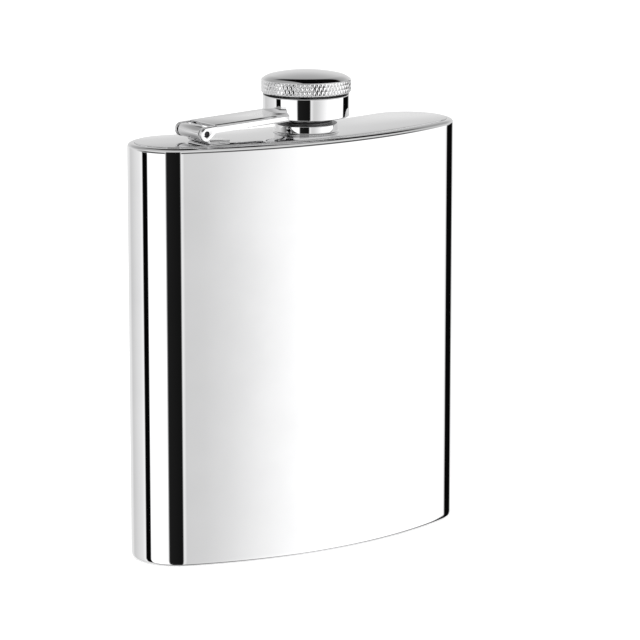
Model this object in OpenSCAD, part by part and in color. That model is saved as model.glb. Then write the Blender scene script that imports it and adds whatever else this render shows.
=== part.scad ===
// Captive-top hip flask: a curved sheet-steel bottle with a screw cap held on a hinged arm.
// Millimetres. The neck axis is X = 0, Y = 0, and the base stands on Z = 0.
// The convex front faces -Y, the concave back faces +Y and the hinge is on the -X side.

/* [Body] */
// Width of the body
body_w = 95; // [90:1:100]
// Height of the body, base to top plate
body_h = 106; // [95:1:120]
// Thickness of the body on the neck axis
body_t = 27; // [26:0.5:28]
// Radius of the convex front in plan
front_r = 108; // [104:1:118]
// Radius of the rounded ends in plan
end_r = 12.2; // [11.8:0.1:12.8]
// Radius of the rolled edge between wall and plates
roll_r = 1.45; // [1.2:0.05:1.8]
// Thickness of the wall sheet
sheet = 0.5; // [0.4:0.05:0.6]
// Thickness of the top and base plates
plate = 0.8; // [0.7:0.1:1]

/* [Neck] */
// Outer radius of the plain collar of the neck
collar_r = 8; // [7.6:0.1:8.2]
// Height of the collar above the top plate
collar_h = 2.3; // [1.9:0.1:2.5]
// Crest radius of the neck thread
thread_r = 7; // [6.8:0.05:7]
// Depth of the thread
thread_d = 0.5; // [0.3:0.05:0.6]
// Height of the mouth above the top plate
mouth_h = 10.7; // [10.6:0.1:10.9]
// Radius of the bore that pours
bore_r = 5.6; // [5:0.1:5.8]

/* [Hinge and arm] */
// Distance of the hinge pin from the neck axis
pin_x = 33.6; // [32.6:0.2:34.4]
// Height of the hinge pin above the top plate
pin_h = 2.9; // [2.7:0.1:3.1]
// Radius of the hinge pin
pin_r = 0.75; // [0.6:0.05:0.8]
// Width of the channel-shaped arm
arm_w = 12; // [10.5:0.1:12.4]
// Sheet thickness of the arm
arm_t = 0.8; // [0.7:0.05:0.9]
// Depth of the arm channel
arm_d = 1.95; // [1.85:0.05:2.05]
// Upward slope of the arm from hinge to cap, in degrees
arm_slope = 2.6; // [2:0.1:3]
// Width of the hinge knuckle between the arm's lugs
knuckle_w = 9.2; // [8:0.1:9.4]

/* [Cap] */
// Outer radius of the barrel that holds the cap
barrel_r = 10.95; // [10.8:0.05:11.2]
// Height of the barrel
barrel_h = 5.6; // [5.4:0.1:5.8]
// Outer radius of the knurled cap
cap_r = 11.3; // [11.2:0.05:11.6]
// Height of the cap's knurled side
cap_h = 3.6; // [3.2:0.1:4]
// Rise of the domed top above the knurled side
dome_h = 2.1; // [1.6:0.1:2.4]
// Number of knurl teeth round the cap
knurl_n = 66; // [48:1:80]

/* [Hidden] */
$fn = 96;

eps = 0.01;
gap = 0.02;                                   // seam clearance between welded sheets

// Plan outline: a convex front arc, two end arcs and a concave back arc, all tangent
end_x = body_w / 2 - end_r;
front_y = front_r - body_t / 2;
end_y = front_y - sqrt(pow(front_r - end_r, 2) - pow(end_x, 2));
end_dy = end_y - body_t / 2;
back_r = (pow(end_x, 2) + pow(end_dy, 2) - pow(end_r, 2)) / (2 * (end_r + end_dy));
back_y = body_t / 2 + back_r;
front_a = atan2(end_x, front_y - end_y);
back_a = atan2(end_x, back_y - end_y);
front_steps = 18;
end_steps = 12;
back_steps = 14;

// Rolled edge: where the wall stops and the raised field of each plate begins
lip_in = roll_r + 0.3;
field_in = lip_in + 0.12;
field_up = 0.25;                              // top field stands this far above the rolled lip
lip_z = body_h - field_up;
roll_steps = 3;

// Neck and hinge places
axis_z = body_h + pin_h;
flange_r = collar_r + 0.35;
flange_h = 1;
thread_pitch = 2;
thread_z = body_h + 3.2;
thread_turns = 4;
spigot_l = 1.6;                               // part of the neck below the top plate
lug_r = 1.75;
notch_l = 2.7;                                // arm web cut away past the pin, over the knuckle
knuckle_r = 1.7;
pin_play = 0.05;
strip_t = 0.7;                                // sheet of the bracket
foot_l = 7;

// Cap places, measured up from the top plate
barrel_z = body_h + 4.05;
barrel_bore = 9.95;
lip_bore = 9.15;
lip_t = 0.8;
cap_gap = 0.2;                                // between barrel and knurled cap
cap_z = barrel_z + barrel_h + cap_gap;
insert_r = 8.95;
insert_bore = 7.95;
insert_z = barrel_z + 0.1;
ring_r = 9.75;
ring_t = 0.6;
seal_t = 1.1;
seal_z = body_h + mouth_h + 0.1;
insert_top = seal_z + seal_t + 0.8;
dome_edge = cap_r - 0.5;
dome_r = (pow(dome_edge, 2) + pow(dome_h, 2)) / (2 * dome_h);
dome_steps = 8;
tooth_d = 0.3;
rim_t = 0.35;                                 // height and bevel of the cap's plain rims

// Points of the plan outline, moved inwards by d
function arc(cx, cy, r, a0, a1, n) =
    [for (i = [0:n - 1]) let (a = a0 + (a1 - a0) * i / n) [cx + r * cos(a), cy + r * sin(a)]];

function outline(d) = concat(
    arc(0, front_y, front_r - d, -90 - front_a, -90 + front_a, front_steps),
    arc(end_x, end_y, end_r - d, -90 + front_a, 90 + back_a, end_steps),
    arc(0, back_y, back_r + d, -90 + back_a, -90 - back_a, back_steps),
    arc(-end_x, end_y, end_r - d, 90 - back_a, 270 - front_a, end_steps));

// Section of the wall as [inset, height]: up the outside, back down the inside
function roll(r, z, a0, a1) =
    [for (i = [0:roll_steps]) let (a = a0 + (a1 - a0) * i / roll_steps)
        [roll_r - r * cos(a), z + r * sin(a)]];

wall_section = concat(
    [[lip_in, 0]],
    roll(roll_r, roll_r, -90, 0),
    roll(roll_r, lip_z - roll_r, 0, 90),
    [[lip_in, lip_z], [lip_in, lip_z - sheet]],
    roll(roll_r - sheet, lip_z - roll_r, 90, 0),
    roll(roll_r - sheet, roll_r, 0, -90),
    [[lip_in, sheet]]);

// A closed band swept round the plan outline
module outline_sweep(section) {
    n = len(outline(0));
    m = len(section);
    points = [for (s = section) for (p = outline(s[0])) [p[0], p[1], s[1]]];
    faces = [for (j = [0:m - 1]) for (i = [0:n - 1])
        let (k = (j + 1) % m, l = (i + 1) % n) [j * n + i, k * n + i, k * n + l, j * n + l]];
    polyhedron(points, faces, convexity = 8);
}

// A flat sheet of the outline's shape
module outline_sheet(d, z0, z1) {
    translate([0, 0, z0]) linear_extrude(z1 - z0) polygon(outline(d));
}

module body_wall() {
    color("silver") outline_sweep(wall_section);
}

module top_plate() {
    color("lightgrey") difference() {
        union() {
            outline_sheet(roll_r + gap, lip_z - sheet - plate, lip_z - sheet);
            outline_sheet(field_in, lip_z - sheet - eps, body_h);
        }
        translate([0, 0, body_h - 5]) cylinder(r = thread_r + gap, h = 10);
    }
}

module base_plate() {
    color("lightgrey") {
        outline_sheet(roll_r + gap, sheet, sheet + plate);
        outline_sheet(field_in, 0, sheet + eps);
    }
}

// Turned spout: spigot in the plate, weld flange, plain collar and external thread
module neck() {
    root_r = thread_r - thread_d;
    mouth_z = body_h + mouth_h;
    low_z = body_h - spigot_l;
    color("silver") rotate_extrude() polygon(concat(
        [[bore_r, low_z], [thread_r, low_z], [thread_r, body_h], [flange_r, body_h]],
        [[flange_r, body_h + flange_h - 0.3], [flange_r - 0.3, body_h + flange_h]],
        [[collar_r, body_h + flange_h], [collar_r, body_h + collar_h - 0.3]],
        [[collar_r - 0.3, body_h + collar_h], [root_r, body_h + collar_h]],
        [for (i = [0:thread_turns - 1]) for (p = [[0, 0], [thread_d, 0.5], [thread_d, 0.9], [0, 1.4]])
            [root_r + p[0], thread_z + i * thread_pitch - 0.4 + p[1]]],
        [[root_r, mouth_z - 0.3], [root_r - 0.3, mouth_z], [bore_r, mouth_z]]));
}

// A shaft along Y on the hinge axis
module on_hinge(r, length) {
    translate([-pin_x, length / 2, axis_z]) rotate([90, 0, 0]) cylinder(r = r, h = length);
}

// Folded bracket: a foot welded to the plate, an upright and a knuckle curled round the pin
module hinge_bracket() {
    color("lightgrey") difference() {
        union() {
            on_hinge(knuckle_r, knuckle_w);
            translate([-pin_x + knuckle_r - strip_t, -knuckle_w / 2, body_h]) {
                cube([strip_t, knuckle_w, pin_h]);
                cube([foot_l, knuckle_w, strip_t]);
            }
        }
        on_hinge(pin_r + pin_play, knuckle_w + 2);
    }
}

module hinge_pin() {
    color("dimgrey") on_hinge(pin_r, arm_w);
}

// Channel-shaped arm: web on top, two flanges that end in round lugs on the pin
module cap_arm() {
    reach = pin_x - 8;
    color("silver") difference() {
        translate([-pin_x, 0, axis_z]) rotate([0, -arm_slope, 0]) {
            translate([notch_l, -arm_w / 2, arm_d - arm_t]) cube([reach - notch_l, arm_w, arm_t]);
            for (y = [arm_w / 2, -arm_w / 2 + arm_t]) translate([0, y, 0]) rotate([90, 0, 0])
                linear_extrude(arm_t) union() {
                    circle(r = lug_r);
                    polygon([[0, 0], [reach, 0], [reach, arm_d], [notch_l, arm_d], [0, lug_r]]);
                }
        }
        translate([0, 0, body_h]) cylinder(r = barrel_r, h = 30);
        on_hinge(pin_r, arm_w + 2);
    }
}

// Barrel on the end of the arm: a sleeve with an inner lip that keeps the cap captive
module cap_barrel() {
    color("silver") translate([0, 0, barrel_z]) rotate_extrude() polygon([
        [barrel_bore, 0.3], [barrel_bore + 0.3, 0], [barrel_r - 0.4, 0], [barrel_r, 0.4],
        [barrel_r, barrel_h - 0.3], [barrel_r - 0.3, barrel_h], [lip_bore, barrel_h],
        [lip_bore, barrel_h - lip_t], [barrel_bore, barrel_h - lip_t]]);
}

// Slip ring at the foot of the insert; it meets the barrel's lip when the cap is undone
module slip_ring() {
    color("grey") translate([0, 0, insert_z + ring_t + 0.05]) difference() {
        cylinder(r = ring_r, h = ring_t);
        translate([0, 0, -1]) cylinder(r = insert_r + 0.15, h = ring_t + 2);
    }
}

// Knurled cap: toothed band between two bevelled rims and a low dome, hollow underneath
module cap_shell() {
    core_r = cap_r - tooth_d - 0.1;
    color("silver") difference() {
        union() {
            translate([0, 0, cap_z]) rotate_extrude() polygon(concat(
                [[0, 0], [cap_r - rim_t, 0], [cap_r, rim_t], [core_r, rim_t + 0.1]],
                [[core_r, cap_h - rim_t - 0.1], [cap_r, cap_h - rim_t]],
                [for (i = [0:dome_steps]) let (x = dome_edge * (1 - i / dome_steps))
                    [x, cap_h + dome_h - dome_r + sqrt(pow(dome_r, 2) - pow(x, 2))]]));
            translate([0, 0, cap_z + rim_t]) linear_extrude(cap_h - 2 * rim_t) polygon(
                [for (i = [0:2 * knurl_n - 1])
                    let (a = 180 * i / knurl_n, r = cap_r - 0.05 - tooth_d * (i % 2))
                    [r * cos(a), r * sin(a)]]);
        }
        translate([0, 0, cap_z - 1]) cylinder(r = insert_r, h = insert_top - cap_z + 1);
    }
}

// Threaded cup pressed into the cap; its foot is flared to hold the slip ring
module cap_insert() {
    color("lightgrey") translate([0, 0, insert_z]) rotate_extrude() polygon([
        [insert_bore, 0], [ring_r, 0], [ring_r, ring_t], [insert_r, ring_t],
        [insert_r, insert_top - insert_z], [0, insert_top - insert_z],
        [0, insert_top - insert_z - 0.8], [insert_bore, insert_top - insert_z - 0.8]]);
}

// Silicone disc that closes the mouth
module cap_seal() {
    color("whitesmoke") translate([0, 0, seal_z]) cylinder(r = insert_bore - 0.15, h = seal_t);
}

body_wall();
top_plate();
base_plate();
neck();
hinge_bracket();
hinge_pin();
cap_arm();
cap_barrel();
slip_ring();
cap_shell();
cap_insert();
cap_seal();
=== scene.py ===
import math

import bmesh
import bpy
from mathutils import Matrix, Vector


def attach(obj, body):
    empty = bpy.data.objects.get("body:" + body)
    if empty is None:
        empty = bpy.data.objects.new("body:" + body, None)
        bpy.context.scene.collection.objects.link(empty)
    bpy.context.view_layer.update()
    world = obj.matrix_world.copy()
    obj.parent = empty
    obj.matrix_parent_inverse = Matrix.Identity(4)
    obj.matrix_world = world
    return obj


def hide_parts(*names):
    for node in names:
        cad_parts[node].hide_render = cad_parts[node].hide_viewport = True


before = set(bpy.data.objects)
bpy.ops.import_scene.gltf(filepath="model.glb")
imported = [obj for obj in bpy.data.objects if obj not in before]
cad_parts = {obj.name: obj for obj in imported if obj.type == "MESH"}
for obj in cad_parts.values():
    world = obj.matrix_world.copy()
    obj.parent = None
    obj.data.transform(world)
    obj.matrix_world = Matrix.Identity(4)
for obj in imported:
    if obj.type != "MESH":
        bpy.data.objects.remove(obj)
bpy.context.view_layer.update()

MM = 0.001

# ---------------------------------------------------------------- driving dimensions, millimetres
BODY_W, BODY_H, BODY_T = 95.0, 106.0, 27.0
FRONT_R, END_R = 108.0, 12.2
ROLL_R, SHEET, PLATE = 1.45, 0.5, 0.8
LIP_IN = ROLL_R + 0.3                  # how far the wall's lip reaches inwards
FIELD_IN = ROLL_R + 0.38               # where the raised field of a plate begins
FIELD_UP, FIELD_RIM = 0.25, 0.12       # its height over the upper lip, and its rounded rim
EDGE_BENDS = [(30, 1.9), (80, 0.75), (90, 4.0)]    # slope at the end of each bend, radius
COLLAR_R, COLLAR_H, FLANGE_R = 8.0, 2.3, 8.35
THREAD_R, THREAD_D, MOUTH_H, BORE_R = 7.0, 0.5, 10.7, 5.6
THREAD_PITCH, THREAD_FADE = 2.0, 0.8   # the ridge fades in and out over THREAD_FADE of height
RIDGE_FOOT, RIDGE_FLANK = 0.72, 0.5    # as shares of half a pitch
PIN_X, PIN_H, PIN_R = 33.6, 2.9, 0.75
ARM_W, ARM_T, ARM_D, ARM_SLOPE = 12.0, 0.8, 1.95, 2.6
LUG_R, NOTCH_L = 1.75, 2.7
KNUCKLE_R, KNUCKLE_W, STRIP_T, FOOT_L = 1.7, 9.2, 0.7, 7.0
BARREL_R, BARREL_H, BARREL_BORE = 10.95, 5.6, 9.95
BARREL_LIP_R, BARREL_LIP_T = 9.15, 0.8
CAP_R, CAP_H, CAP_CHAMFER, DOME_H = 11.3, 3.6, 0.4, 2.1
DOME_SLOPE, SHOULDER_SLOPE, SHOULDER_R, RIM_R = 13, 38, 5.0, 0.25    # slopes in degrees
KNURL_N, KNURL_PITCH, KNURL_D, KNURL_FLAT = 66, 2.08, 0.15, 0.25
INSERT_R, INSERT_BORE, INSERT_ROOF = 8.95, 7.95, 0.8
FOOT_R, FOOT_H = 9.75, 0.6

AXIS_Z = BODY_H + PIN_H
BARREL_Z = BODY_H + 4.05               # underside of the barrel, above the collar
CAP_Z = BARREL_Z + BARREL_H + 0.2      # underside of the cap, a dark gap above the barrel
INSERT_Z = BARREL_Z + 0.1
SEAL_Z, SEAL_T = BODY_H + MOUTH_H + 0.1, 1.1
INSERT_TOP = SEAL_Z + SEAL_T + INSERT_ROOF
LIP_Z = BODY_H - FIELD_UP

SMOOTH, CRISP = 35.0, 50.0             # edges sharper than this stay crisp, in degrees

# plan outline: convex front arc, two end arcs, concave back arc, all tangent
END_X = BODY_W / 2 - END_R
FRONT_Y = FRONT_R - BODY_T / 2
END_Y = FRONT_Y - math.sqrt((FRONT_R - END_R) ** 2 - END_X ** 2)
END_DY = END_Y - BODY_T / 2
BACK_R = (END_X ** 2 + END_DY ** 2 - END_R ** 2) / (2 * (END_R + END_DY))
BACK_Y = BODY_T / 2 + BACK_R
FRONT_A = math.atan2(END_X, FRONT_Y - END_Y)
BACK_A = math.atan2(END_X, BACK_Y - END_Y)


# ---------------------------------------------------------------- mesh helpers
def add_mesh(name, verts_mm, faces, smooth=SMOOTH):
    """A mesh object from points in millimetres; edges sharper than smooth degrees stay crisp."""
    mesh = bpy.data.meshes.new(name)
    mesh.from_pydata([(x * MM, y * MM, z * MM) for x, y, z in verts_mm], [], faces)
    mesh.validate()
    mesh.shade_smooth()
    mesh.set_sharp_from_angle(angle=math.radians(smooth))
    piece = bpy.data.objects.new(name, mesh)
    bpy.context.scene.collection.objects.link(piece)
    return piece


def grid_faces(rows, cols, close_rows=True):
    """Quads of a grid of rows x cols points; each row is a closed ring."""
    faces = []
    for j in range(rows if close_rows else rows - 1):
        for i in range(cols):
            row, next_row = j * cols, (j + 1) % rows * cols
            k = (i + 1) % cols
            faces.append((row + i, row + k, next_row + k, next_row + i))
    return faces


def arc_points(cx, cy, r, a0, a1, n):
    """n points of an arc, the last one left out; angles from -Y towards +X."""
    out = []
    for i in range(n):
        a = a0 + (a1 - a0) * i / n
        out.append((cx + r * math.sin(a), cy - r * math.cos(a)))
    return out


def outline(inset):
    """Plan outline of the flask, moved inwards, as (x, y) points in millimetres."""
    front, end, back = 180, 150, 110
    turn = 2 * math.pi
    return (arc_points(0, FRONT_Y, FRONT_R - inset, -FRONT_A, FRONT_A, front)
            + arc_points(END_X, END_Y, END_R - inset, FRONT_A, math.pi + BACK_A, end)
            + arc_points(0, BACK_Y, BACK_R + inset, BACK_A, -BACK_A, back)
            + arc_points(-END_X, END_Y, END_R - inset, math.pi - BACK_A, turn - FRONT_A, end))


def outline_rings(section):
    """Points of the outline at each (inset, z) of a section, ring after ring, and a ring's count."""
    verts = [(x, y, z) for inset, z in section for x, y in outline(inset)]
    return verts, len(verts) // len(section)


def roll(r, cz, a0, a1):
    """Section of the wall's inner bend as (inset, z); angle 0 is the wall, 90 the top."""
    steps = 4
    out = []
    for i in range(steps + 1):
        a = math.radians(a0 + (a1 - a0) * i / steps)
        out.append((ROLL_R - r * math.cos(a), cz + r * math.sin(a)))
    return out


def edge_profile():
    """Outer rolled edge as (inset, distance from the flask's end), from the wall inwards."""
    bends = arc_profile(0.0, EDGE_BENDS)
    reach = bends[-1][0]
    return [(reach - run, -drop) for run, drop in reversed(bends)]


def fix_normals(piece):
    """Makes every face of a closed mesh point outwards."""
    work = bmesh.new()
    work.from_mesh(piece.data)
    bmesh.ops.recalc_face_normals(work, faces=work.faces)
    work.to_mesh(piece.data)
    work.free()


def spin(name, rows, segments, smooth=SMOOTH):
    """A closed solid turned about the neck axis from (r, z) rows; r may be a function of the angle."""
    on_axis = 1e-6
    verts, rings = [], []
    for radius, z in rows:
        if not callable(radius) and radius < on_axis:
            rings.append([len(verts)] * segments)
            verts.append((0.0, 0.0, z))
            continue
        rings.append(list(range(len(verts), len(verts) + segments)))
        for i in range(segments):
            a = 2 * math.pi * i / segments
            r = radius(a) if callable(radius) else radius
            verts.append((r * math.cos(a), r * math.sin(a), z))
    faces = []
    for low, high in zip(rings, rings[1:] + rings[:1]):
        for i in range(segments):
            k = (i + 1) % segments
            corners = [low[i], low[k], high[k], high[i]]
            face = [c for n, c in enumerate(corners) if c not in corners[:n]]
            if len(face) > 2:
                faces.append(face)
    piece = add_mesh(name, verts, faces, smooth)
    fix_normals(piece)
    return piece


def fillet(points, radii):
    """A (r, z) section with its corners rounded, each by its own radius."""
    steps, longest_share, least = 5, 0.45, 1e-4
    out = []
    count = len(points)
    for i in range(count):
        p = Vector(points[i])
        before, after = Vector(points[i - 1]) - p, Vector(points[(i + 1) % count]) - p
        reach = min(radii[i], before.length * longest_share, after.length * longest_share)
        if reach < least:
            out.append(tuple(p))
            continue
        start, end = p + before.normalized() * reach, p + after.normalized() * reach
        for s in range(steps + 1):
            t = s / steps
            q = start * (1 - t) ** 2 + p * (2 * t * (1 - t)) + end * t ** 2
            out.append((q.x, q.y))
    return out


def arc_profile(top_z, bends):
    """(r, z) points from the axis outwards; each bend is (slope at its end in degrees, radius)."""
    points = [(0.0, top_z)]
    slope, step, fewest = 0.0, 1.2, 4
    for end, radius in bends:
        end = math.radians(end)
        r0, z0 = points[-1]
        steps = max(fewest, round(math.degrees(end - slope) / step))
        for i in range(1, steps + 1):
            a = slope + (end - slope) * i / steps
            points.append((r0 + radius * (math.sin(a) - math.sin(slope)),
                           z0 - radius * (math.cos(slope) - math.cos(a))))
        slope = end
    return points


# ---------------------------------------------------------------- materials
def new_material(name):
    """A node material; returns it with its tree and its Principled shader."""
    material = bpy.data.materials.new(name)
    material.use_nodes = True
    tree = material.node_tree
    return material, tree, tree.nodes["Principled BSDF"]


def object_point(tree, scale):
    """Object coordinates, in metres, stretched by scale per axis."""
    coord = tree.nodes.new("ShaderNodeTexCoord")
    mapping = tree.nodes.new("ShaderNodeMapping")
    mapping.inputs["Scale"].default_value = scale
    tree.links.new(coord.outputs["Object"], mapping.inputs["Vector"])
    return mapping.outputs["Vector"]


def noise(tree, vector, scale, detail, rough=0.55):
    """Noise from 0 to 1 over a coordinate."""
    node = tree.nodes.new("ShaderNodeTexNoise")
    node.inputs["Scale"].default_value = scale
    node.inputs["Detail"].default_value = detail
    node.inputs["Roughness"].default_value = rough
    tree.links.new(vector, node.inputs["Vector"])
    return node.outputs["Fac"]


def spread(tree, value, low, high, in_low=0.3, in_high=0.7):
    """Maps in_low..in_high of a value to low..high; by default that is the bulk of a noise."""
    node = tree.nodes.new("ShaderNodeMapRange")
    node.inputs["From Min"].default_value = in_low
    node.inputs["From Max"].default_value = in_high
    node.inputs["To Min"].default_value = low
    node.inputs["To Max"].default_value = high
    tree.links.new(value, node.inputs["Value"])
    return node.outputs["Result"]


def mix_colours(tree, factor, first, second):
    """Colour between first and second, each a socket or a plain (r, g, b)."""
    node = tree.nodes.new("ShaderNodeMix")
    node.data_type = "RGBA"
    tree.links.new(factor, node.inputs["Factor"])
    for name, colour in (("A", first), ("B", second)):
        if isinstance(colour, tuple):
            node.inputs[name].default_value = (*colour, 1)
        else:
            tree.links.new(colour, node.inputs[name])
    return node.outputs["Result"]


def add_bump(tree, shader, height, depth, strength):
    """Bumps the shader's normal by a height socket; depth is in metres."""
    bump = tree.nodes.new("ShaderNodeBump")
    bump.inputs["Distance"].default_value = depth
    bump.inputs["Strength"].default_value = strength
    tree.links.new(height, bump.inputs["Height"])
    tree.links.new(bump.outputs["Normal"], shader.inputs["Normal"])


def add_hairlines(tree, shader, stretch, depth):
    """Fine polishing lines, drawn out along the axes with the smallest stretch."""
    lines = noise(tree, object_point(tree, stretch), scale=6, detail=2, rough=0.7)
    add_bump(tree, shader, lines, depth, strength=0.5)


def darker(tone, share):
    """The tone with each channel brought down to a share of itself."""
    return tuple(c * share for c in tone)


def steel(name, tone, rough, rough_span, hairline, depth):
    """Polished stainless steel: faint hairlines, handling haze and slight tone changes."""
    material, tree, shader = new_material(name)
    shader.inputs["Metallic"].default_value = 1.0
    haze = noise(tree, object_point(tree, (1, 1, 1)), scale=55, detail=3)
    tint = mix_colours(tree, spread(tree, haze, 0, 1), tone, darker(tone, 0.955))
    tree.links.new(tint, shader.inputs["Base Color"])
    tree.links.new(spread(tree, haze, rough, rough + rough_span), shader.inputs["Roughness"])
    add_hairlines(tree, shader, hairline, depth)
    return material


def two_tone_steel(name, low_tone, high_tone, split_z, roughs, hairline):
    """Turned steel that changes tone and roughness at a height, in millimetres; its darker tone is
    painted shade.
    """
    material, tree, shader = new_material(name)
    shader.inputs["Metallic"].default_value = 1.0
    height = tree.nodes.new("ShaderNodeSeparateXYZ")
    tree.links.new(object_point(tree, (1, 1, 1)), height.inputs["Vector"])
    blur = 0.02
    above = spread(tree, height.outputs["Z"], 0, 1, (split_z - blur) * MM, (split_z + blur) * MM)
    tree.links.new(mix_colours(tree, above, low_tone, high_tone), shader.inputs["Base Color"])
    tree.links.new(spread(tree, above, *roughs, 0, 1), shader.inputs["Roughness"])
    add_hairlines(tree, shader, hairline, depth=0.0000005)
    return material


def soft_material(name, tone, rough, grain, depth, subsurface):
    """Nylon or silicone: slightly mottled, with a fine moulded grain."""
    material, tree, shader = new_material(name)
    point = object_point(tree, (1, 1, 1))
    mottle = noise(tree, point, scale=grain * 0.3, detail=3)
    fine = noise(tree, point, scale=grain, detail=4)
    tint = mix_colours(tree, spread(tree, mottle, 0, 1), tone, darker(tone, 0.9))
    tree.links.new(tint, shader.inputs["Base Color"])
    tree.links.new(spread(tree, fine, rough, rough + 0.12), shader.inputs["Roughness"])
    shader.inputs["Subsurface Weight"].default_value = subsurface
    shader.inputs["Subsurface Radius"].default_value = (MM, MM, MM)
    add_bump(tree, shader, fine, depth, strength=0.6)
    return material


MATERIALS = {
    "polished_wall": steel(
        "polished_wall", (0.83, 0.83, 0.835), rough=0.015, rough_span=0.015,
        hairline=(30, 30, 700), depth=0.0000002),
    "polished_plate": steel(
        "polished_plate", (0.80, 0.80, 0.805), rough=0.03, rough_span=0.03,
        hairline=(60, 700, 60), depth=0.0000006),
    "base_steel": steel(
        "base_steel", (0.70, 0.70, 0.71), rough=0.16, rough_span=0.10,
        hairline=(900, 40, 40), depth=0.000004),
    # the thread's darker tone is painted shade, for the shadowed gap that shows between barrel and
    # collar
    "turned_neck": two_tone_steel(
        "turned_neck", low_tone=(0.80, 0.80, 0.805), high_tone=(0.35, 0.35, 0.355),
        split_z=BODY_H + COLLAR_H, roughs=(0.03, 0.34), hairline=(40, 40, 1500)),
    "bracket_steel": steel(
        "bracket_steel", (0.79, 0.79, 0.795), rough=0.05, rough_span=0.05,
        hairline=(500, 60, 60), depth=0.000001),
    # a near-black tone, painted shade for the dark dots that the pin's sunk ends make in the lugs
    "pin_steel": steel(
        "pin_steel", (0.045, 0.045, 0.048), rough=0.38, rough_span=0.1,
        hairline=(600, 60, 600), depth=0.000002),
    "arm_steel": steel(
        "arm_steel", (0.82, 0.82, 0.825), rough=0.03, rough_span=0.04,
        hairline=(60, 900, 60), depth=0.0000006),
    "barrel_steel": steel(
        "barrel_steel", (0.82, 0.82, 0.825), rough=0.02, rough_span=0.02,
        hairline=(40, 40, 1500), depth=0.0000005),
    "slip_ring": soft_material(
        "slip_ring", (0.80, 0.80, 0.77), rough=0.42, grain=900, depth=0.00001, subsurface=0.1),
    # the cap's lower chamfer is painted dark, painted shade for the dark line between knurl and barrel
    "cap_steel": two_tone_steel(
        "cap_steel", low_tone=(0.05, 0.05, 0.052), high_tone=(0.82, 0.82, 0.825),
        split_z=CAP_Z + CAP_CHAMFER - 0.03, roughs=(0.3, 0.02), hairline=(400, 400, 400)),
    "insert_steel": steel(
        "insert_steel", (0.66, 0.66, 0.67), rough=0.14, rough_span=0.08,
        hairline=(40, 40, 2500), depth=0.000003),
    "seal": soft_material(
        "seal", (0.84, 0.84, 0.82), rough=0.34, grain=700, depth=0.000006, subsurface=0.3),
}


def dress(piece, slot, body, *nodes):
    """Gives a piece its material, slot and body, and hides the CAD nodes that it stands for."""
    piece.data.materials.clear()
    piece.data.materials.append(MATERIALS[slot])
    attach(piece, body)
    if nodes:
        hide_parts(*nodes)
    return piece


# ---------------------------------------------------------------- flask body
def make_wall():
    """Wrapped sheet: one closed band with rolled edges at top and bottom."""
    support = 0.35    # an extra ring this far from each bend keeps the wall's shading flat
    edge = edge_profile()
    bend_h, inner_r = edge[0][1], ROLL_R - SHEET
    outer = [(LIP_IN, 0)] + edge[::-1] + [(0, bend_h + support), (0, BODY_H / 2)]
    outer += [(0, LIP_Z - bend_h - support)]
    outer += [(inset, LIP_Z - drop) for inset, drop in edge] + [(LIP_IN, LIP_Z)]
    inner = [(LIP_IN, LIP_Z - SHEET)] + roll(inner_r, LIP_Z - ROLL_R, 90, 0)
    inner += [(SHEET, LIP_Z - ROLL_R - support), (SHEET, ROLL_R + support)]
    inner += roll(inner_r, ROLL_R, 0, -90) + [(LIP_IN, SHEET)]
    verts, cols = outline_rings(outer + inner)
    wall = add_mesh("flask_wall", verts, grid_faces(len(outer + inner), cols))
    return dress(wall, "polished_wall", "flask", "body_wall")


def make_plate(name, slot, node, face_z, back_z, hole=None):
    """Pressed plate: a raised field with a rounded rim, and a flange hidden by the wall's lip."""
    up = 1 if face_z > back_z else -1
    flange_in, flange_z = ROLL_R + 0.03, back_z + up * PLATE
    section = [(FIELD_IN - 0.001, back_z), (flange_in, back_z), (flange_in, flange_z),
               (FIELD_IN, flange_z)]
    rim_steps = 4
    for i in range(rim_steps + 1):
        a = math.pi / 2 * i / rim_steps
        section.append((FIELD_IN + FIELD_RIM * (1 - math.cos(a)),
                        face_z - up * FIELD_RIM * (1 - math.sin(a))))
    verts, cols = outline_rings(section)
    faces = grid_faces(len(section), cols, close_rows=False)
    back, front = 0, (len(section) - 1) * cols
    if hole is None:
        faces.append(tuple(range(back, back + cols)))
        faces.append(tuple(range(front, front + cols)))
    else:
        faces += ring_fill(verts, back, cols, hole, back_z)
        faces += ring_fill(verts, front, cols, hole, face_z)
        faces += ring_quads(len(verts) - 2 * cols, len(verts) - cols, cols)
    piece = add_mesh(name, verts, faces)
    fix_normals(piece)
    return dress(piece, slot, "flask", node)


def ring_quads(first, second, cols):
    """Quads between two rings of points, given by their first indices."""
    return [(first + i, first + (i + 1) % cols, second + (i + 1) % cols, second + i)
            for i in range(cols)]


def ring_fill(verts, start, cols, radius, z):
    """Fills between an outline ring and a round hole on the axis, as quads to matching points."""
    base = len(verts)
    for i in range(cols):
        x, y, _ = verts[start + i]
        d = math.hypot(x, y)
        verts.append((x / d * radius, y / d * radius, z))
    return ring_quads(start, base, cols)


make_wall()
make_plate("top_panel", "polished_plate", "top_plate", BODY_H, LIP_Z - SHEET - PLATE, THREAD_R)
make_plate("base_panel", "base_steel", "base_plate", 0.0, SHEET + PLATE)


# ---------------------------------------------------------------- neck
def smooth_step(t):
    """0 below t = 0, 1 above t = 1, and a smooth rise between."""
    t = min(max(t, 0.0), 1.0)
    return t * t * (3 - 2 * t)


def thread_ridge(phase):
    """Height 0..1 of a rounded thread across one pitch."""
    t = abs(phase - math.floor(phase) - 0.5) * 2
    return smooth_step((RIDGE_FOOT - t) / RIDGE_FLANK)


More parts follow.
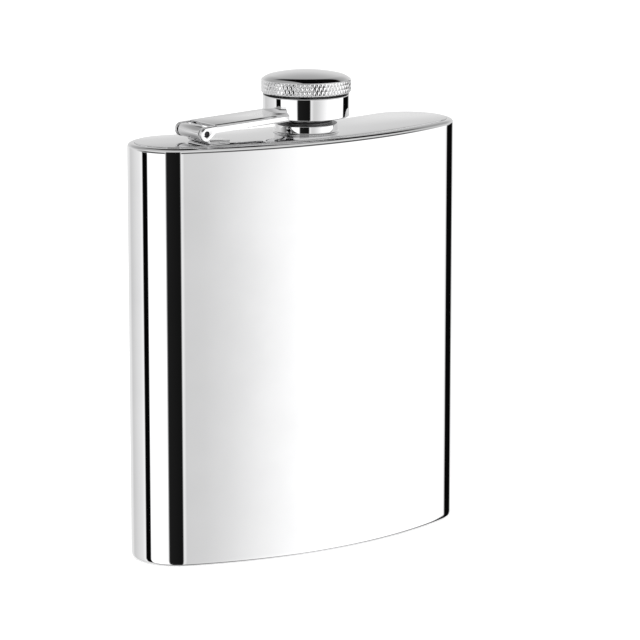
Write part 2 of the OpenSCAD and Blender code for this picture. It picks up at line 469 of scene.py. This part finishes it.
def thread_rows(root, ridge, z_from, z_to, count):
    """Rows for spin of a helical thread; ridge is its height, negative for an inner thread."""
    low, high = min(z_from, z_to), max(z_from, z_to)
    rows = []
    for j in range(count + 1):
        z = z_from + (z_to - z_from) * j / count
        height = ridge * smooth_step((z - low) / THREAD_FADE) * smooth_step((high - z) / THREAD_FADE)
        turns = (z - low) / THREAD_PITCH
        rows.append((lambda a, height=height, turns=turns:
                     root + height * thread_ridge(turns - a / (2 * math.pi)), z))
    return rows


def make_neck():
    """Turned spout: stub through the plate, low weld fillet, plain collar and an outer thread."""
    stub_z, collar_z, mouth_z = BODY_H - 1.6, BODY_H + COLLAR_H, BODY_H + MOUTH_H
    weld_low, weld_high = BODY_H + 0.25, BODY_H + 0.45
    root, gap = THREAD_R - THREAD_D, 0.35
    rows = fillet([(BORE_R, stub_z), (THREAD_R, stub_z), (THREAD_R, BODY_H), (FLANGE_R, BODY_H),
                   (FLANGE_R, weld_low), (COLLAR_R, weld_high), (COLLAR_R, collar_z),
                   (root, collar_z + 0.1)],
                  [0.1, 0.1, 0.0, 0.1, 0.1, 0.2, 0.2, 0.2])
    rows += thread_rows(root, THREAD_D, collar_z + gap, mouth_z - gap, 90)
    rows += fillet([(root, mouth_z - 0.3), (root, mouth_z), (BORE_R, mouth_z), (BORE_R, mouth_z - 1)],
                   [0.0, 0.2, 0.25, 0.0])
    return dress(spin("neck_spout", rows, 220, CRISP), "turned_neck", "flask", "neck")


make_neck()


# ---------------------------------------------------------------- cap
def knurl_depth(a, rise):
    """Depth 0..1 of a diamond knurl at an angle and a height: two families of crossing V grooves."""
    u = KNURL_N * a / (2 * math.pi)
    v = rise / KNURL_PITCH
    first = abs(((u + v) % 1.0) - 0.5) * 2
    second = abs(((u - v) % 1.0) - 0.5) * 2
    return max(0.0, max(first, second) - KNURL_FLAT) / (1 - KNURL_FLAT)


def knurl_rows(low, high, count):
    """Rows for spin of the knurled side; the grooves run out over the last two rows at each end."""
    rows = []
    for j in range(count + 1):
        z = low + (high - low) * j / count
        depth = KNURL_D * smooth_step(j / 2) * smooth_step((count - j) / 2)
        rows.append((lambda a, z=z, depth=depth: CAP_R - depth * knurl_depth(a, z - low), z))
    return rows


def cap_top_rows():
    """Rows for spin from the cap's upper rim over the rolled shoulder to the middle of the dome."""
    sin_dome, sin_shoulder = math.sin(math.radians(DOME_SLOPE)), math.sin(math.radians(SHOULDER_SLOPE))
    shoulder = SHOULDER_R * (sin_shoulder - sin_dome)
    rim = RIM_R * (1 - sin_shoulder)
    top_r = CAP_R - 0.12
    dome_r = (top_r - rim - shoulder) / sin_dome
    bends = [(DOME_SLOPE, dome_r), (SHOULDER_SLOPE, SHOULDER_R), (90, RIM_R)]
    return arc_profile(CAP_Z + CAP_H + DOME_H, bends)[::-1]


def make_cap():
    """Cap with a diamond-knurled side, a rolled shoulder and a low dome; hollow for the insert."""
    side_r, points_per_tooth = CAP_R - 0.06, 16
    rows = [(INSERT_R, CAP_Z), (side_r - CAP_CHAMFER, CAP_Z), (side_r, CAP_Z + CAP_CHAMFER)]
    rows += knurl_rows(CAP_Z + 0.46, CAP_Z + CAP_H - 0.1, 36)
    rows += cap_top_rows()
    rows += [(0.0, INSERT_TOP), (INSERT_R, INSERT_TOP)]
    cap = spin("knurled_cap", rows, KNURL_N * points_per_tooth, CRISP)
    return dress(cap, "cap_steel", "cap", "cap_shell")


def make_barrel():
    """Sleeve on the arm's end; the lip inside its top keeps the cap's flared foot captive."""
    top = BARREL_Z + BARREL_H
    lip_z = top - BARREL_LIP_T
    section = fillet([(BARREL_BORE, BARREL_Z), (BARREL_R, BARREL_Z), (BARREL_R, top),
                      (BARREL_LIP_R, top), (BARREL_LIP_R, lip_z), (BARREL_BORE, lip_z)],
                     [0.25, 0.35, 0.3, 0.2, 0.1, 0.2])
    return dress(spin("barrel_sleeve", section, 300), "barrel_steel", "arm", "cap_barrel")


def make_insert():
    """Threaded cup inside the cap, with the flared foot that stays under the barrel's lip."""
    foot_z, roof_z = INSERT_Z + FOOT_H, INSERT_TOP - INSERT_ROOF
    root = INSERT_BORE + THREAD_D
    rows = fillet([(INSERT_BORE, INSERT_Z), (FOOT_R, INSERT_Z), (FOOT_R, foot_z),
                   (INSERT_R, foot_z), (INSERT_R, INSERT_TOP), (0.0, INSERT_TOP)],
                  [0.2, 0.15, 0.15, 0.1, 0.1, 0.0])
    rows += [(0.0, roof_z), (root, roof_z)]
    rows += thread_rows(root, -THREAD_D, roof_z - 1.4, INSERT_Z + 0.5, 70)
    insert = spin("cap_threaded_insert", rows, 180, CRISP)
    return dress(insert, "insert_steel", "cap", "cap_insert")


def make_slip_ring():
    """Plain nylon ring between the insert's foot and the barrel's lip."""
    inner_r, low, height = INSERT_R + 0.15, INSERT_Z + FOOT_H + 0.05, 0.6
    section = fillet([(inner_r, low), (FOOT_R, low), (FOOT_R, low + height), (inner_r, low + height)],
                     [0.15, 0.15, 0.15, 0.15])
    return dress(spin("nylon_slip_ring", section, 180), "slip_ring", "carrier", "slip_ring")


def make_seal():
    """Silicone disc with a flat sealing rib that meets the mouth."""
    r, top = INSERT_BORE - 0.15, SEAL_Z + SEAL_T
    middle_r, rib_in, rib_out = 4.6, 5.0, 7.0
    middle_z, edge_z = SEAL_Z + 0.25, SEAL_Z + 0.1
    section = fillet([(0.0, middle_z), (middle_r, middle_z), (rib_in, SEAL_Z), (rib_out, SEAL_Z),
                      (r, edge_z), (r, top), (0.0, top)],
                     [0, 0.2, 0.2, 0.3, 0.2, 0.2, 0])
    return dress(spin("silicone_seal", section, 160), "seal", "cap", "cap_seal")


make_cap()
make_barrel()
make_insert()
make_slip_ring()
make_seal()


# ---------------------------------------------------------------- arm and hinge
def apply_modifiers(piece):
    """Replaces a piece's mesh by what its modifiers make of it."""
    graph = bpy.context.evaluated_depsgraph_get()
    graph.update()
    mesh = bpy.data.meshes.new_from_object(piece.evaluated_get(graph))
    piece.modifiers.clear()
    piece.data = mesh


def cut(piece, tool, operation="DIFFERENCE"):
    """Applies an exact boolean and deletes the tool."""
    mod = piece.modifiers.new("cut", "BOOLEAN")
    mod.operation = operation
    mod.solver = "EXACT"
    mod.object = tool
    apply_modifiers(piece)
    bpy.data.objects.remove(tool)


def soften(piece, width):
    """Rounds the edges of a solid by width, in millimetres."""
    mod = piece.modifiers.new("edge", "BEVEL")
    mod.width = width * MM
    mod.segments = 2
    mod.limit_method = "ANGLE"
    mod.angle_limit = math.radians(30)
    mod.use_clamp_overlap = True
    mod.harden_normals = False
    apply_modifiers(piece)
    piece.data.shade_smooth()
    piece.data.set_sharp_from_angle(angle=math.radians(40))


def prism(name, points, axis, low, high):
    """A solid from (a, b) points pushed along axis 'x', 'y' or 'z' between two places."""
    def place(a, b, c):
        """A point with (a, b) across the axis and c along it."""
        return {"x": (c, a, b), "y": (a, c, b), "z": (a, b, c)}[axis]
    count = len(points)
    verts = [place(a, b, low) for a, b in points] + [place(a, b, high) for a, b in points]
    faces = [tuple(range(count)), tuple(range(2 * count - 1, count - 1, -1))]
    faces += [(i, i + count, (i + 1) % count + count, (i + 1) % count) for i in range(count)]
    piece = add_mesh(name, verts, faces)
    fix_normals(piece)
    return piece


def circle_points(cx, cy, r, count, start=0.0, end=360.0):
    """Points of a circle or, where start and end say so in degrees, of an arc with both its ends."""
    steps = count if end - start >= 360 else count - 1
    out = []
    for i in range(count):
        a = math.radians(start + (end - start) * i / steps)
        out.append((cx + r * math.cos(a), cy + r * math.sin(a)))
    return out


def place_on_hinge(piece):
    """Moves a piece from the arm's own frame, pin at the origin, to its place, slope included."""
    turn = Matrix.Rotation(math.radians(-ARM_SLOPE), 4, "Y")
    piece.data.transform(Matrix.Translation((-PIN_X * MM, 0, AXIS_Z * MM)) @ turn)


def channel_section(half, fold, inner):
    """U section of the arm, open downwards, with outer folds and small inner ones."""
    inside, ceiling = half - ARM_T, ARM_D - ARM_T
    section = [(-half, 0.0)]
    section += circle_points(-half + fold, ARM_D - fold, fold, 9, 180, 90)
    section += circle_points(half - fold, ARM_D - fold, fold, 9, 90, 0)
    section += [(half, 0.0), (inside, 0.0)]
    section += circle_points(inside - inner, ceiling - inner, inner, 5, 0, 90)
    section += circle_points(-inside + inner, ceiling - inner, inner, 5, 90, 180)
    return section + [(-inside, 0.0)]


def cheek_outline():
    """Side view of a flange's end: a round lug that runs into the channel, pin at the origin."""
    join_x = NOTCH_L + 0.3
    outline_points = circle_points(0, 0, LUG_R, 72, 90, 270)
    outline_points += [(0.6, -LUG_R), (1.6, -0.8), (2.6, 0.0), (join_x, 0.0)]    # underside
    outline_points += [(join_x, ARM_D - 0.35), (NOTCH_L, ARM_D - 0.2)]           # inside the fold
    return outline_points + [(NOTCH_L - 1.2, LUG_R + 0.05)]                      # top of the lug


def make_arm():
    """Pressed channel: U section with tight folds, two flanges with round lugs, and a saddle end."""
    half, reach, end_gap = ARM_W / 2, PIN_X - 8, 0.02
    arm = prism("arm_channel", channel_section(half, 0.65, 0.12), "x", NOTCH_L, reach)
    for side in (-1, 1):
        ends = sorted((side * half, side * (half - ARM_T)))
        cut(arm, prism("cheek", cheek_outline(), "y", *ends), "UNION")
    cut(arm, prism("pin_hole", circle_points(0, 0, PIN_R, 64), "y", -half - 1, half + 1))
    place_on_hinge(arm)
    saddle = circle_points(0, 0, BARREL_R - end_gap, 256)
    cut(arm, prism("saddle", saddle, "z", BODY_H - 5, BODY_H + 20))
    soften(arm, 0.1)
    return dress(arm, "arm_steel", "arm", "cap_arm")


def strip_section(path, thickness):
    """Closed outline of a strip that follows a path, half its thickness to each side."""
    left, right = [], []
    for i, (x, z) in enumerate(path):
        a, b = Vector(path[max(i - 1, 0)]), Vector(path[min(i + 1, len(path) - 1)])
        across = Vector((a.y - b.y, b.x - a.x)).normalized() * thickness / 2
        left.append((x + across.x, z + across.y))
        right.append((x - across.x, z - across.y))
    return left + right[::-1]


def make_bracket():
    """Folded strip: foot on the plate, bend, upright, and a knuckle curled round the pin."""
    curl, middle = KNUCKLE_R - STRIP_T / 2, STRIP_T / 2
    bend, curl_end = 0.75, 285
    path = [(curl + FOOT_L - STRIP_T, middle)]
    path += circle_points(curl + bend, middle + bend, bend, 8, 270, 180)
    path += circle_points(0, PIN_H, curl, 48, 0, curl_end)
    section = [(x - PIN_X, z + BODY_H) for x, z in strip_section(path, STRIP_T)]
    bracket = prism("hinge_bracket_strip", section, "y", -KNUCKLE_W / 2, KNUCKLE_W / 2)
    soften(bracket, 0.12)
    return dress(bracket, "bracket_steel", "flask", "hinge_bracket")


def make_pin():
    """Wire pin with rounded ends, set a little below the lugs' faces."""
    half, radius = ARM_W / 2 - 0.3, PIN_R - 0.01
    bevel, crown = 0.12, 0.05
    section = [(0.0, -half + crown), (radius - bevel, -half), (radius, -half + bevel),
               (radius, half - bevel), (radius - bevel, half), (0.0, half - crown)]
    pin = spin("wire_pin", section, 64)
    turn = Matrix.Rotation(math.pi / 2, 4, "X")
    pin.data.transform(Matrix.Translation((-PIN_X * MM, 0, AXIS_Z * MM)) @ turn)
    return dress(pin, "pin_steel", "arm", "hinge_pin")


make_arm()
make_bracket()
make_pin()


# ---------------------------------------------------------------- studio
AROUND, UPWARD = 180, 90    # an azimuth runs from -AROUND to AROUND, an elevation by UPWARD
WHITE = 1.45                # brightness of a softbox seen in the steel


def grey(level):
    """Scene-linear brightness whose reflection in the steel shows as this display level, 0..255."""
    v = level / 255
    linear = v / 12.92 if v <= 0.04045 else ((v + 0.055) / 1.055) ** 2.4
    return linear / 0.82


def value_node(tree, operation, *inputs):
    """A Math node; each input is a socket or a number."""
    node = tree.nodes.new("ShaderNodeMath")
    node.operation = operation
    for i, item in enumerate(inputs):
        if isinstance(item, (int, float)):
            node.inputs[i].default_value = item
        else:
            tree.links.new(item, node.inputs[i])
    return node.outputs["Value"]


def grey_ramp(tree, value, reach, stops):
    """A piecewise-linear grey curve: stops are (degrees, brightness) from -reach to reach."""
    ramp = tree.nodes.new("ShaderNodeValToRGB")
    scaled = value_node(tree, "DIVIDE", value_node(tree, "SUBTRACT", value, -reach), 2 * reach)
    tree.links.new(scaled, ramp.inputs["Fac"])
    elements = ramp.color_ramp.elements
    for i, (place, level) in enumerate(stops):
        at = (place + reach) / (2 * reach)
        element = elements[i] if i < 2 else elements.new(at)
        element.position = at
        element.color = (level, level, level, 1)
    return ramp.outputs["Color"]


def studio_walls(tree, azimuth):
    """Softboxes and black flags that stand round the flask; azimuth 0 is in front, 90 is +X."""
    return grey_ramp(tree, azimuth, AROUND, [
        (-180, grey(224)), (-168, grey(200)), (-158, grey(207)), (-145, grey(218)),
        (-130, grey(228)), (-121, grey(245)), (-119, grey(4)), (-105.5, grey(4)),
        (-103.5, WHITE), (-60, WHITE), (-56, grey(28)), (-24, grey(18)),
        (-21.5, grey(238)), (-18, grey(228)), (-14, grey(207)), (-6, grey(211)),
        (1, grey(222)), (9, grey(236)), (16, grey(248)), (26, WHITE * 0.9),
        (45, WHITE), (79, WHITE), (83, grey(8)), (114, grey(6)),
        (120, grey(225)), (180, grey(224))])


def sky_share(tree, azimuth, elevation):
    """1 where the sky takes over from the walls; the front flag goes on up, to about 20 degrees."""
    rising = grey_ramp(tree, elevation, UPWARD, [(-90, 0.0), (-3, 0.0), (0, 1.0), (90, 1.0)])
    front_flag = grey_ramp(tree, azimuth, AROUND, [
        (-180, 0.0), (-60, 0.0), (-56, 1.0), (-23, 1.0), (-20, 0.0), (180, 0.0)])
    flag_top = grey_ramp(tree, elevation, UPWARD, [(-90, 1.0), (16, 1.0), (22, 0.0), (90, 0.0)])
    blocked = value_node(tree, "MULTIPLY", front_flag, flag_top)
    return value_node(tree, "MULTIPLY", rising, value_node(tree, "SUBTRACT", 1.0, blocked))


def studio_sky(tree, azimuth, elevation):
    """What hangs above the walls: a pale ceiling in front, a greyer one with a black flag behind."""
    front = grey_ramp(tree, elevation, UPWARD, [
        (-90, grey(250)), (-2, grey(240)), (0, grey(85)), (7, grey(85)), (9.5, grey(222)),
        (34, grey(215)), (45, grey(190)), (90, grey(190))])
    low_part = [(-90, grey(225)), (-6, grey(225)), (8, grey(205)), (14, grey(203)), (26, grey(172))]
    back_open = grey_ramp(tree, elevation, UPWARD, low_part + [
        (38, grey(155)), (82, grey(160)), (90, grey(185))])
    back_flag = grey_ramp(tree, elevation, UPWARD, low_part + [
        (37, grey(150)), (41, grey(8)), (82, grey(8)), (86, grey(165)), (90, grey(185))])
    flag_share = grey_ramp(tree, azimuth, AROUND, [
        (-180, 0.0), (74, 0.0), (80, 1.0), (166, 1.0), (174, 0.0), (180, 0.0)])
    back_share = grey_ramp(tree, azimuth, AROUND, [
        (-180, 1.0), (-140, 1.0), (-110, 0.0), (60, 0.0), (80, 1.0), (180, 1.0)])
    behind = mix_colours(tree, flag_share, back_open, back_flag)
    return mix_colours(tree, back_share, front, behind)


def make_studio():
    """World that the steel mirrors; all other rays get plain white light."""
    world = bpy.data.worlds.new("studio")
    bpy.context.scene.world = world
    world.use_nodes = True
    tree = world.node_tree
    tree.nodes.clear()
    coord = tree.nodes.new("ShaderNodeTexCoord")
    split = tree.nodes.new("ShaderNodeSeparateXYZ")
    tree.links.new(coord.outputs["Generated"], split.inputs["Vector"])
    x, y, z = split.outputs["X"], split.outputs["Y"], split.outputs["Z"]
    degrees = 180 / math.pi
    bearing = value_node(tree, "ARCTAN2", x, value_node(tree, "MULTIPLY", y, -1))
    azimuth = value_node(tree, "MULTIPLY", bearing, degrees)
    elevation = value_node(tree, "MULTIPLY", value_node(tree, "ARCSINE", z), degrees)

    walls, sky = studio_walls(tree, azimuth), studio_sky(tree, azimuth, elevation)
    room = mix_colours(tree, sky_share(tree, azimuth, elevation), walls, sky)
    table = (grey(100), grey(100), grey(100))
    table_share = grey_ramp(tree, elevation, UPWARD, [(-90, 1.0), (-64, 1.0), (-60, 0.0), (90, 0.0)])
    mirrored = tree.nodes.new("ShaderNodeBackground")
    tree.links.new(mix_colours(tree, table_share, room, table), mirrored.inputs["Color"])
    plain = tree.nodes.new("ShaderNodeBackground")
    plain.inputs["Color"].default_value = (1.0, 1.0, 1.0, 1)
    plain.inputs["Strength"].default_value = 1.0

    path = tree.nodes.new("ShaderNodeLightPath")
    choose = tree.nodes.new("ShaderNodeMixShader")
    tree.links.new(path.outputs["Is Glossy Ray"], choose.inputs["Fac"])
    tree.links.new(plain.outputs["Background"], choose.inputs[1])
    tree.links.new(mirrored.outputs["Background"], choose.inputs[2])
    output = tree.nodes.new("ShaderNodeOutputWorld")
    tree.links.new(choose.outputs["Shader"], output.inputs["Surface"])


def make_floor():
    """Pale floor that the steel doesn't mirror."""
    size = 3.0
    corners = [(-size, -size, 0), (size, -size, 0), (size, size, 0), (-size, size, 0)]
    mesh = bpy.data.meshes.new("floor")
    mesh.from_pydata(corners, [], [(0, 1, 2, 3)])
    floor = bpy.data.objects.new("floor", mesh)
    bpy.context.scene.collection.objects.link(floor)
    material, _, shader = new_material("floor_paper")
    shader.inputs["Base Color"].default_value = (0.9, 0.9, 0.9, 1)
    shader.inputs["Roughness"].default_value = 1.0
    shader.inputs["Specular IOR Level"].default_value = 0.0
    shader.inputs["Emission Color"].default_value = (1, 1, 1, 1)
    shader.inputs["Emission Strength"].default_value = 0.45
    mesh.materials.append(material)
    floor.visible_glossy = False


def direction(azimuth, elevation):
    """Unit vector from the flask towards a place in the studio, from angles in degrees."""
    a, e = math.radians(azimuth), math.radians(elevation)
    return Vector((math.sin(a) * math.cos(e), -math.cos(a) * math.cos(e), math.sin(e)))


def make_softbox(name, azimuth, elevation, distance, size, power):
    """A soft area light aimed at the middle of the flask, not seen in its reflections."""
    light = bpy.data.lights.new(name, "AREA")
    light.size = size
    light.energy = power
    lamp = bpy.data.objects.new(name, light)
    bpy.context.scene.collection.objects.link(lamp)
    toward = direction(azimuth, elevation)
    lamp.location = Vector((0, 0, BODY_H / 2 * MM)) + toward * distance
    lamp.rotation_mode = "QUATERNION"
    lamp.rotation_quaternion = toward.to_track_quat("Z", "Y")
    lamp.visible_glossy = False


def make_camera(azimuth, elevation, distance, target_mm, lens):
    """Camera that looks at a target from a direction in degrees and a distance in metres."""
    data = bpy.data.cameras.new("camera")
    data.sensor_width = 36
    data.lens = lens
    data.clip_start, data.clip_end = 0.01, 20
    camera = bpy.data.objects.new("camera", data)
    bpy.context.scene.collection.objects.link(camera)
    back = direction(azimuth, elevation)
    camera.location = Vector(target_mm) * MM + back * distance
    camera.rotation_mode = "QUATERNION"
    camera.rotation_quaternion = back.to_track_quat("Z", "Y")
    bpy.context.scene.camera = camera


make_studio()
make_floor()
make_softbox("key", azimuth=-60, elevation=50, distance=0.9, size=0.5, power=1.0)
# turned to the hinge side and slightly above
make_camera(azimuth=-34.80, elevation=11.73, distance=0.89346, target_mm=(4.29, 0, 56.92), lens=196.66)
bpy.context.scene.view_settings.view_transform = "Standard"
